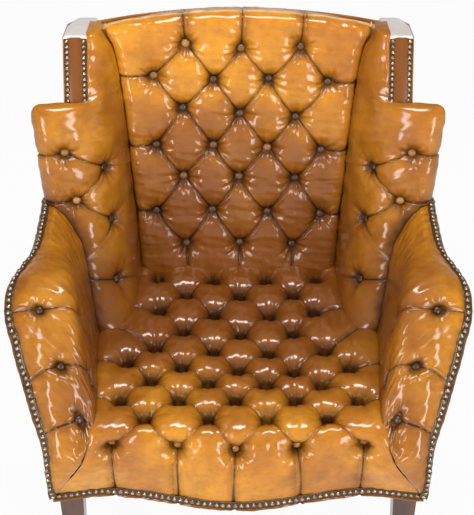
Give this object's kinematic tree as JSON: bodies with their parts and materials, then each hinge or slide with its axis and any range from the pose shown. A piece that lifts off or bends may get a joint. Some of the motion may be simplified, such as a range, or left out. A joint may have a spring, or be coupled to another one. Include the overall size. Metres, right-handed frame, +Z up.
{
  "type": "wingback armchair",
  "caption": "High-backed leather wing armchair with deep diamond-buttoned seat, back and wings, flared nailed arms and a bowed front on four short wooden legs.",
  "frame": {"origin": "centre of the footprint of the whole chair, on the floor", "axes": "+X to the right of a viewer who faces the chair, +Y towards the back, +Z up"},
  "size_m": [0.8218, 0.7042, 0.9598],
  "materials": {
    "tan_leather": "glossy antiqued hide, darker in the folds",
    "button_leather": "glossy hide, darkened",
    "beech_frame": "sawn, unpolished",
    "mahogany_legs": "dark stain, satin polish",
    "jute_webbing": "woven jute",
    "hessian": "coarse weave",
    "spring_steel": "drawn wire",
    "brass_nails": "antique brass, rubbed",
    "band_leather": "dark band under the nails",
    "dust_cloth": "black cambric"
  },
  "bodies": {
    "root": {"arm_pad_left": "tan_leather", "arm_pad_right": "tan_leather", "back_pad": "tan_leather", "seat_pad": "tan_leather", "wing_pad_left": "tan_leather", "wing_pad_right": "tan_leather", "crest_roll": "tan_leather", "outside_arm_left": "tan_leather", "outside_arm_right": "tan_leather", "outside_back": "tan_leather", "outside_wing_left": "tan_leather", "outside_wing_right": "tan_leather", "arm_buttons_left": "button_leather", "arm_buttons_right": "button_leather", "back_buttons": "button_leather", "seat_buttons": "button_leather", "wing_buttons_left": "button_leather", "wing_buttons_right": "button_leather", "arm_post_left": "beech_frame", "arm_post_right": "beech_frame", "arm_rail_left": "beech_frame", "arm_rail_right": "beech_frame", "arm_stuffing_rail_left": "beech_frame", "arm_stuffing_rail_right": "beech_frame", "corner_blocks": "beech_frame", "crest_rail": "beech_frame", "front_seat_rail": "beech_frame", "lower_back_rail": "beech_frame", "rear_seat_rail": "beech_frame", "side_seat_rail_left": "beech_frame", "side_seat_rail_right": "beech_frame", "wing_board_left": "beech_frame", "wing_board_right": "beech_frame", "rail_dowels": "beech_frame", "back_post_left": "mahogany_legs", "back_post_right": "mahogany_legs", "front_leg_left": "mahogany_legs", "front_leg_right": "mahogany_legs", "seat_webbing": "jute_webbing", "back_webbing": "jute_webbing", "spring_hessian": "hessian", "back_hessian": "hessian", "seat_springs": "spring_steel", "block_screws": "spring_steel", "dust_cover": "dust_cloth"}
  },
  "joints": []
}
